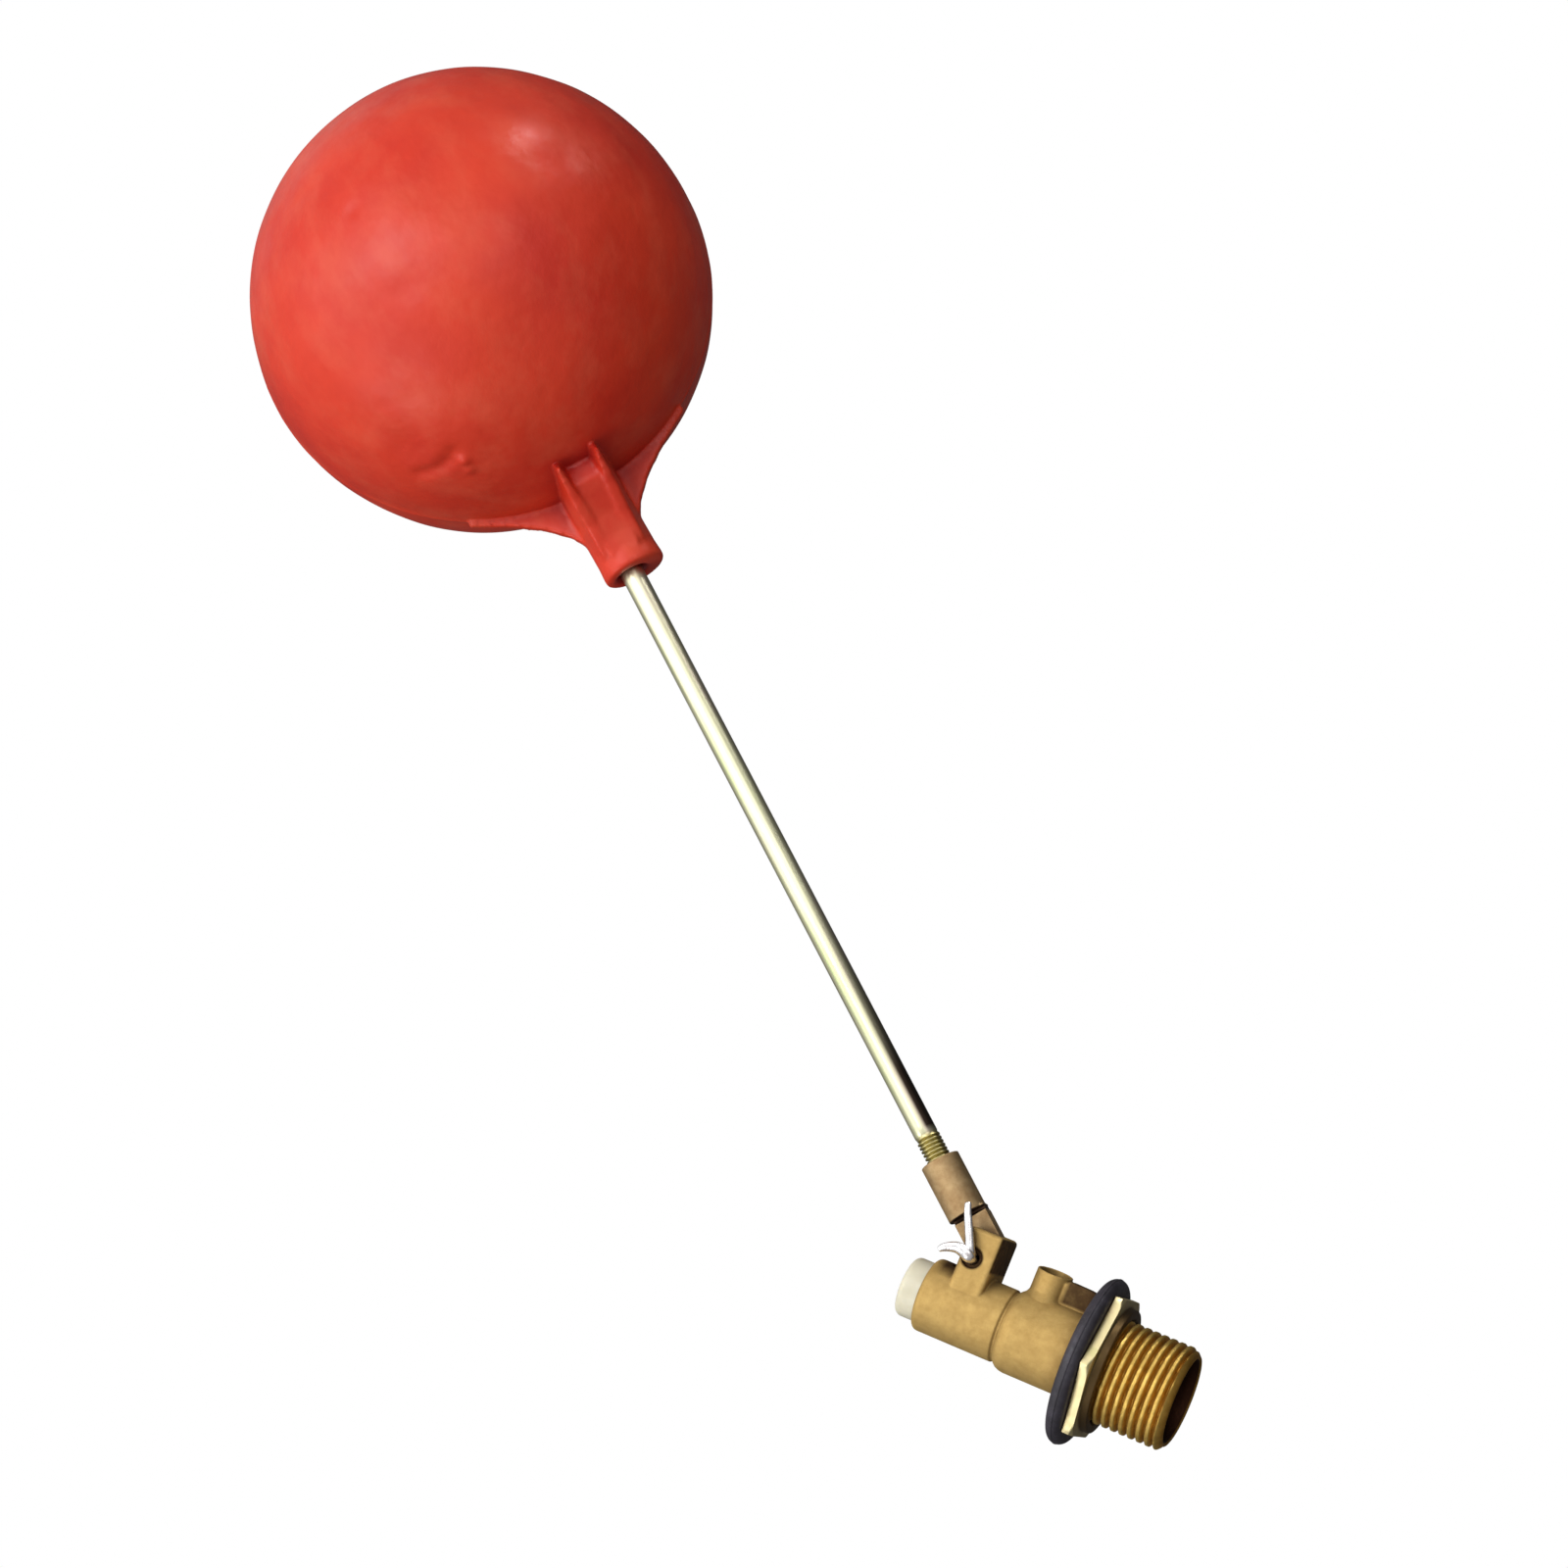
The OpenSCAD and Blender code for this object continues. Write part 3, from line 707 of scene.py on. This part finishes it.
# ---------------------------------------------------------------- lever and rod
def make_lever():
    """Round sleeve, flat tongue, eye on the pin, and the crank that works the plunger."""
    outline = arc((0, 0), EYE_R, 90, 250, 16)
    outline += [(1.6, -6.1), (SLEEVE_X + 0.5, -6.1), (SLEEVE_X + 0.5, 0.9), (1.4, 0.9), (0.9, 2.2)]
    tongue = prism("lever_arm", outline, -LEVER_HALF, LEVER_HALF)
    half = DROOP / 2                    # the crank stands upright in the middle of the swing
    tip = arc((0, CRANK_R), CRANK_TIP_R, -50, 230, 20)
    crank_outline = [(-1.0, 8.8), (-1.8, 0), (1.8, 0), (1.0, 8.8)] + tip
    turned = [(x * math.cos(half) - z * math.sin(half), x * math.sin(half) + z * math.cos(half))
              for x, z in crank_outline]
    crank = prism("crank", turned, -LEVER_HALF, LEVER_HALF)
    sleeve = rod_along("sleeve", SLEEVE_R, (SLEEVE_X, 0, -ROD_DROP), (SLEEVE_END, 0, -ROD_DROP), steps=96)
    lever = combine(tongue, [crank, sleeve], "UNION")
    combine(lever, [
        rod_along("eye_hole", PIN_HOLE_R + 0.01, (0, -4, 0), (0, 4, 0)),
        rod_along("socket", ROD_CREST_R + 0.05, (ROD_START - 0.2, 0, -ROD_DROP),
                  (SLEEVE_END + 1, 0, -ROD_DROP)),
        block("groove_near", (SLEEVE_X - GROOVE, -9, -9), (SLEEVE_X, GROOVE_DEPTH - LEVER_HALF, 9)),
        block("groove_far", (SLEEVE_X - GROOVE, LEVER_HALF - GROOVE_DEPTH, -9), (SLEEVE_X, 9, 9)),
    ], "DIFFERENCE")
    soften(lever, METAL_VOXEL, rounds=3)
    lever.matrix_world = arm_matrix()
    finish_piece(lever, "arm", ["lever"], LEVER)


def make_rod():
    """The float rod, with a rolled thread at each end."""
    def threaded(x):
        return lambda angle: thread_radius(x, angle, ROD_PITCH, ROD_ROOT_R, ROD_CREST_R)

    tip_start = ROD_END - 16
    rings = [(ROD_START, 1.6), (ROD_START + 0.4, 2.0)]
    rings += [(x, threaded(x)) for x in spaced(ROD_START + 0.5, ROD_THREAD_END - 0.5, step=0.09)]
    rings += [(ROD_THREAD_END - 0.1, 2.25), (ROD_THREAD_END + 0.3, ROD_R)]
    rings += [(x, ROD_R) for x in spaced(ROD_THREAD_END + 2, tip_start - 1, step=6)]
    rings += [(tip_start - 0.3, ROD_R), (tip_start, 2.25)]
    rings += [(x, threaded(x)) for x in spaced(tip_start + 0.4, ROD_END - 0.5, step=0.09)]
    rings += [(ROD_END - 0.4, 2.0), (ROD_END, 1.6)]
    rod = lathe("float_rod_wire", rings, steps=48)
    rod.matrix_world = arm_matrix() @ Matrix.Translation((0, 0, -ROD_DROP * MM))
    finish_piece(rod, "arm", ["float_rod"], ROD_ZINC, smooth_angle=60)


# ---------------------------------------------------------------- split pin
def sweep(name, path, start_side, steps=14):
    """A wire along a smooth path of (point, half width, half thickness), flat side by side."""
    count = len(path) - 1
    rows = [(i, k / 8) for i in range(count) for k in range(8)] + [(count - 1, 1)]

    def spline(values, i, t):
        a, b, c, d = (values[min(max(i + o, 0), count)] for o in (-1, 0, 1, 2))
        return 0.5 * (2 * b + (c - a) * t + (2 * a - 5 * b + 4 * c - d) * t * t
                      + (3 * b - a - 3 * c + d) * t ** 3)

    points_in, widths, heights = zip(*path)
    centres = [spline(points_in, i, t) for i, t in rows]
    sizes = [(spline(widths, i, t), spline(heights, i, t)) for i, t in rows]
    points, faces = [], []
    side = start_side
    for k, (centre, (wide, thick)) in enumerate(zip(centres, sizes)):
        way = (centres[min(k + 1, len(rows) - 1)] - centres[max(k - 1, 0)]).normalized()
        side = (side - way * side.dot(way)).normalized()
        up = way.cross(side)
        size = (0.62, 0.9, 1)[min(k, len(rows) - 1 - k, 2)]
        for j in range(steps):
            angle = TAU * j / steps
            offset = side * (wide * math.cos(angle)) + up * (thick * math.sin(angle))
            points.append(centre + offset * size)
    for k in range(len(rows) - 1):
        for j in range(steps):
            m = (j + 1) % steps
            faces.append((k * steps + j, k * steps + m, (k + 1) * steps + m, (k + 1) * steps + j))
    faces += [tuple(range(steps)), tuple((len(rows) - 1) * steps + j for j in range(steps))]
    return mesh_object(name, points, faces)


def make_split_pin():
    """Two flattened wires from one eye, side by side through the ears, with their ends bent apart."""
    across = Vector((0.428, 0, -0.904))         # from the pin's axis to the long wire
    beside = Vector((0.904, 0, 0.428))          # along the wires' flat sides
    face = -EARS_HALF                           # the ear's outer face, on the camera's side

    def at(y, x, z):
        """A point of a bent end: y along the pin, then x and z from the pivot."""
        return Vector((x, y, z))

    def beside_axis(y, v):
        """A point of a straight part, at a distance v from the pin's axis."""
        return across * v + Vector((0, y, 0))

    long_leg = [(at(face - 1.0, 4.6, -9.7), 0.66, 0.42), (at(face - 1.15, 3.9, -7.9), 0.76, 0.5),
                (at(face - 1.2, 2.6, -5.3), 0.84, 0.58), (at(face - 1.15, 1.4, -2.9), 0.90, 0.66),
                (at(face - 1.0, 0.75, -1.3), 1.05, 0.8), (beside_axis(face - 0.3, 0.62), 1.05, 0.7),
                (beside_axis(face + 0.8, 0.57), 1.02, 0.56), (beside_axis(0, 0.57), 1.02, 0.56),
                (beside_axis(6.2, 0.57), 1.02, 0.56), (beside_axis(7.4, 1.1), 0.9, 0.6),
                (beside_axis(8.9, 1.75), 0.8, 0.6), (beside_axis(10.3, 1.2), 0.8, 0.6),
                (beside_axis(10.8, 0), 0.8, 0.6)]
    short_leg = [(at(face - 0.95, 6.5, 1.0), 0.55, 0.38), (at(face - 1.1, 5.8, 0.3), 0.8, 0.5),
                 (at(face - 1.15, 4.6, -0.35), 1.0, 0.6), (at(face - 1.2, 3.2, -0.75), 1.2, 0.72),
                 (at(face - 1.2, 1.7, -0.55), 1.35, 0.85), (at(face - 1.0, 0.5, 0.0), 1.35, 1.0),
                 (beside_axis(face - 0.2, -0.55), 1.05, 0.66), (beside_axis(face + 0.8, -0.57), 1.02, 0.56),
                 (beside_axis(0, -0.57), 1.02, 0.56), (beside_axis(6.2, -0.57), 1.02, 0.56),
                 (beside_axis(7.4, -1.1), 0.9, 0.6), (beside_axis(8.9, -1.75), 0.8, 0.6),
                 (beside_axis(10.3, -1.2), 0.8, 0.6), (beside_axis(10.8, 0), 0.8, 0.6)]
    for name, leg in (("split_pin_long", long_leg), ("split_pin_short", short_leg)):
        wire = sweep(name, [(p + PIVOT, w, h) for p, w, h in leg], beside)
        finish_piece(wire, "valve", ["split_pin"], STEEL)


# ---------------------------------------------------------------- float
def side_rib():
    """A rib in the plane of the seam, hollowed between the neck and its tip on the ball."""
    outline = [(MOUTH_X + 7, 0), (MOUTH_X + 7, NECK_R - 0.9), (MOUTH_X + 10.5, NECK_R + 0.1),
               (MOUTH_X + 13, 8), (MOUTH_X + 17.2, 12), (MOUTH_X + 21, 17.2), (MOUTH_X + 25.6, 25),
               (MOUTH_X + 28.5, 25.4), (FLOAT_X - FLOAT_R + 8, 12), (FLOAT_X - FLOAT_R + 2, 0)]
    return prism("side_rib", outline, -1.15, 1.15)


def face_rib():
    """A wedge with a thin crest, which ends in a point that stands clear of the ball."""
    crest = [(MOUTH_X + 4, NECK_R - 0.9), (MOUTH_X + 7, 7.2), (MOUTH_X + 10, 8.8), (MOUTH_X + 15, 12.8),
             (MOUTH_X + 20.6, 18.9), (MOUTH_X + 21.6, 18.2), (MOUTH_X + 24, 14)]
    points = []
    for x, z in crest:
        half = 0.3 if z > 15 else 1.0
        points += [(x, -half, z), (x, half, z), (x, 3.1, 1), (x, -3.1, 1)]
    faces = [(0, 1, 2, 3), tuple(len(points) - 4 + k for k in range(4))]
    for k in range(len(crest) - 1):
        a, b = 4 * k, 4 * k + 4
        faces += [(a + j, a + (j + 1) % 4, b + (j + 1) % 4, b + j) for j in range(4)]
    return mesh_object("face_rib", points, faces)


def make_float():
    """The hollow ball, its ribbed neck and its seam, as one blow moulded skin."""
    ball = bpy.data.meshes.new("float_skin")
    shape = bmesh.new()
    bmesh.ops.create_icosphere(shape, subdivisions=6, radius=FLOAT_R * MM)
    shape.to_mesh(ball)
    shape.free()
    ball.transform(Matrix.Translation((FLOAT_X * MM, 0, 0)))
    skin = add_object("float_skin", ball)
    neck = [(MOUTH_X, NECK_R - 0.5), (MOUTH_X + 0.25, NECK_R - 0.1), (MOUTH_X + 0.8, NECK_R + 0.1),
            (MOUTH_X + 1.8, NECK_R + 0.05), (MOUTH_X + 4, NECK_R - 0.1), (MOUTH_X + 27, NECK_R - 0.1)]
    parts = [lathe("neck", neck, steps=96)]
    for turn in (0, 180):
        rib = side_rib()
        rib.data.transform(Matrix.Rotation(math.radians(turn), 4, "X"))
        parts.append(rib)
    for turn in (90, -90):
        web = prism("face_web", [(MOUTH_X + 3, 0), (MOUTH_X + 3, NECK_R - 0.4), (MOUTH_X + 7, 7.1),
                                 (MOUTH_X + 11, 9.1), (MOUTH_X + 15.5, 12.6), (MOUTH_X + 17.5, 14.0),
                                 (MOUTH_X + 21, 13.5), (MOUTH_X + 24, 0)], -3.2, 3.2)
        web.data.transform(Matrix.Rotation(math.radians(turn), 4, "X"))
        parts.append(web)
        for side in (-1, 1):
            rib = face_rib()
            fan = Matrix.Rotation(math.radians(side * 3.5), 4, "X")
            aside = Matrix.Translation((0, side * 3.2 * MM, 0))
            rib.data.transform(Matrix.Rotation(math.radians(turn), 4, "X") @ aside @ fan.inverted())
            parts.append(rib)
    combine(skin, parts, "UNION")
    lean = (Matrix.Translation((LEAN_X * MM, 0, 0)) @ Matrix.Rotation(-FLOAT_LEAN, 4, "Y")
            @ Matrix.Rotation(FLOAT_TURN, 4, "X") @ Matrix.Translation((-LEAN_X * MM, 0, 0)))
    skin.data.transform(lean)
    hole = lathe("hole", [(MOUTH_X - 2, 3.7), (MOUTH_X + 0.4, 3.6), (MOUTH_X + 1.2, NECK_HOLE_R + 0.1),
                          (MOUTH_X + 2, NECK_HOLE_R), (MOUTH_X + 8, NECK_HOLE_R), (MOUTH_X + 8, 4),
                          (MOUTH_X + 22, 4)], steps=64)
    combine(skin, [hole], "DIFFERENCE")
    soften(skin, FLOAT_VOXEL, rounds=2)
    shape_ball(skin, lean)
    skin.matrix_world = arm_matrix() @ Matrix.Translation((0, 0, -ROD_DROP * MM))
    finish_piece(skin, "arm", ["float_ball"], RED)


# Form of the ball's skin, in millimetres. It is drawn in to stay inside the CAD box
DRAWN_IN, LONG, FLAT = 0.45, 0.4, 0.2
WAVES = ((0.18, 2.1), (0.07, 6.3))          # height, and how many there are
SEAM_HEIGHT, SEAM_HALF = 0.22, 0.7
# Marks on the ball: direction from its centre, angular width, and depth in millimetres
DENTS = [
    # crease, and the raised nick beside it
    ((-0.706, -0.365, 0.606), 0.032, 0.35), ((-0.727, -0.388, 0.567), 0.034, 0.45),
    ((-0.745, -0.418, 0.520), 0.034, 0.55), ((-0.748, -0.455, 0.482), 0.034, 0.50),
    ((-0.742, -0.502, 0.444), 0.032, 0.35), ((-0.784, -0.459, 0.418), 0.026, -0.65),
    ((-0.812, -0.412, 0.414), 0.024, -0.45), ((-0.622, -0.490, 0.611), 0.10, 0.5),
    # slack places in the skin
    ((0.256, -0.908, 0.331), 0.035, 0.35), ((-0.182, -0.935, 0.303), 0.08, 0.35),
    ((0.127, -0.971, 0.203), 0.10, -0.30), ((0.099, -0.990, -0.097), 0.16, 0.55),
    ((-0.55, -0.80, -0.10), 0.25, 0.5), ((0.24, -0.83, -0.50), 0.14, -0.35),
]


def shape_ball(skin, lean):
    """Trues up the ball, then adds its seam, its uneven skin, its dents and a nick."""
    mesh = skin.data
    coordinates = np.empty(len(mesh.vertices) * 3, np.float32)
    mesh.vertices.foreach_get("co", coordinates)
    back = lean.inverted()
    rows = []
    centre = Vector((FLOAT_X, 0, 0))
    dents = [(Vector(way).normalized(), spread, depth) for way, spread, depth in DENTS]
    for x, y, z in coordinates.reshape(-1, 3).tolist():
        point = back @ Vector((x, y, z)) / MM
        out = point - centre
        distance = out.length
        way = out / distance
        on_ball = 1 - smoothstep((abs(distance - FLOAT_R) - 0.25) / 0.9)
        if on_ball > 0:
            wave = sum(height * noise.noise(way * rate) for height, rate in WAVES)
            for place, spread, depth in dents:
                wave -= depth * math.exp(-(((way - place).length / spread) ** 2))
            seam = SEAM_HEIGHT * math.exp(-((way.y * FLOAT_R / SEAM_HALF) ** 2))
            target = FLOAT_R - DRAWN_IN + LONG * way.x * way.x - FLAT * way.y * way.y + wave + seam
            point = centre + way * (distance + (target - distance) * on_ball)
        rows.append(lean @ (point * MM))
    mesh.vertices.foreach_set("co", np.array(rows, np.float32).ravel())
    mesh.update()


# ---------------------------------------------------------------- hidden pieces keep their CAD shape
def dress_hidden_nodes():
    for node, material in (("seat_nozzle", NYLON), ("plunger_seal", RUBBER), ("float_insert", LEVER)):
        mesh = frame["nodes"][node].data
        mesh.materials.clear()
        mesh.materials.append(material)


# ---------------------------------------------------------------- camera, floor and light
# Angles in degrees, and lengths in metres but for the lens
CAMERA_AZIMUTH = -17.61
CAMERA_ELEVATION = 2.56
CAMERA_ROLL = 157.8
CAMERA_DISTANCE = 0.9317
CAMERA_AIM = Vector((0.0993, 0, -0.0824))
LENS_MM = 106.9

# Directions are right, up and back as the camera sees them, from the object to the light
LIGHTS = (
    # name, direction, distance and size in metres, power in watts
    ("key", (-0.62, 0.44, 0.66), 1.3, 0.8, 8.5),
    ("side", (-0.95, 0.1, 0.25), 1.3, 0.8, 3),
    ("top", (0.3, 0.95, 0.12), 1.4, 0.6, 11),
    ("low_left", (-0.66, -0.54, 0.51), 1.4, 0.6, 4.5),
    ("front", (0.1, 0.5, 1), 1.4, 0.8, 3),
    ("back_fill", (-0.6, 0.5, -0.65), 1.6, 1.2, 1.5),
)
WORLD_BRIGHT_SIDE = (-0.6, 0.25, 0.75)
WORLD_DARK, WORLD_BRIGHT = 0.08, 0.72
FLOOR_RADIUS, FLOOR_Z, FLOOR_STEPS = 3.0, -0.55, 96


def add_camera():
    """The photograph's view. The camera is rolled because the valve is shown upside down."""
    azimuth, elevation = math.radians(CAMERA_AZIMUTH), math.radians(CAMERA_ELEVATION)
    back = Vector((math.sin(azimuth) * math.cos(elevation),
                   -math.cos(azimuth) * math.cos(elevation), math.sin(elevation)))
    data = bpy.data.cameras.new("camera")
    data.lens = LENS_MM
    data.sensor_width = 36
    camera = add_object("camera", data)
    upright = (-back).to_track_quat("-Z", "Y").to_matrix()
    roll = Matrix.Rotation(math.radians(-CAMERA_ROLL), 3, "Z")
    turned = (upright @ roll).to_4x4()
    camera.matrix_world = Matrix.Translation(CAMERA_AIM + back * CAMERA_DISTANCE) @ turned
    bpy.context.scene.camera = camera
    return turned.to_3x3()


def add_softbox(name, view, way, distance, size, power):
    """A square white area light, turned towards the object."""
    data = bpy.data.lights.new(name, "AREA")
    data.shape = "SQUARE"
    data.size = size
    data.energy = power
    light = add_object(name, data)
    towards = (view @ Vector(way)).normalized()
    light.matrix_world = (Matrix.Translation(CAMERA_AIM + towards * distance)
                          @ towards.to_track_quat("Z", "Y").to_matrix().to_4x4())
    light.visible_camera = False


def add_world(view):
    """White where the camera sees it. As a light it is grey, and brightest on the key light's side."""
    world = bpy.data.worlds.new("world")
    bpy.context.scene.world = world
    world.use_nodes = True
    tree = world.node_tree
    tree.nodes.clear()
    seen, light = (tree.nodes.new("ShaderNodeBackground") for _ in range(2))
    place = tree.nodes.new("ShaderNodeTexCoord")
    facing = tree.nodes.new("ShaderNodeVectorMath")
    facing.operation = "DOT_PRODUCT"
    facing.inputs[1].default_value = (view @ Vector(WORLD_BRIGHT_SIDE)).normalized()
    level = tree.nodes.new("ShaderNodeMapRange")
    level.interpolation_type = "SMOOTHSTEP"
    ends = {"From Min": -0.7, "From Max": 0.9, "To Min": WORLD_DARK, "To Max": WORLD_BRIGHT}
    for key, value in ends.items():
        level.inputs[key].default_value = value
    tree.links.new(place.outputs["Generated"], facing.inputs[0])
    tree.links.new(facing.outputs["Value"], level.inputs["Value"])
    tree.links.new(level.outputs["Result"], light.inputs["Strength"])
    light.inputs["Color"].default_value = (1, 1, 1, 1)
    seen.inputs["Color"].default_value = (1, 1, 1, 1)
    ray = tree.nodes.new("ShaderNodeLightPath")
    mix = tree.nodes.new("ShaderNodeMixShader")
    out = tree.nodes.new("ShaderNodeOutputWorld")
    tree.links.new(ray.outputs["Is Camera Ray"], mix.inputs["Fac"])
    tree.links.new(light.outputs[0], mix.inputs[1])
    tree.links.new(seen.outputs[0], mix.inputs[2])
    tree.links.new(mix.outputs[0], out.inputs["Surface"])


def add_floor():
    """A pale floor well below the part, which fades to white away from it."""
    angles = [TAU * k / FLOOR_STEPS for k in range(FLOOR_STEPS)]
    points = [(0, 0, 0)] + [(FLOOR_RADIUS * math.cos(a), FLOOR_RADIUS * math.sin(a), 0) for a in angles]
    faces = [(0, k + 1, (k + 1) % FLOOR_STEPS + 1) for k in range(FLOOR_STEPS)]
    mesh = bpy.data.meshes.new("floor")
    mesh.from_pydata(points, [], faces)
    floor = add_object("floor", mesh)
    floor.location = (CAMERA_AIM.x, 0, FLOOR_Z)
    paint = Paint("floor", Roughness=0.8)
    grain = paint.span(paint.noise(30, 3), 0.3, 0.7)
    paint.set("Base Color", paint.blend(grain, (0.86, 0.86, 0.86), (0.90, 0.90, 0.89)))
    x, y, _ = paint.coordinates()
    away = paint.distance(x, y)
    glow = paint.node("ShaderNodeEmission")
    mix = paint.node("ShaderNodeMixShader")
    paint.join(paint.span(away, 0.3, 0.85), mix.inputs["Fac"])
    paint.join(paint.shader.outputs[0], mix.inputs[1])
    paint.join(glow.outputs[0], mix.inputs[2])
    paint.join(mix.outputs[0], paint.tree.nodes["Material Output"].inputs["Surface"])
    mesh.materials.append(paint.material)
    floor.visible_diffuse = False
    floor.visible_glossy = False


make_body()
make_inlet_tail()
make_washer()
make_nut()
make_plunger()
make_lever()
make_rod()
make_split_pin()
make_float()
dress_hidden_nodes()
view = add_camera()
add_world(view)
add_floor()
for name, way, distance, size, power in LIGHTS:
    add_softbox(name, view, way, distance, size, power)
bpy.context.scene.view_settings.view_transform = "Standard"
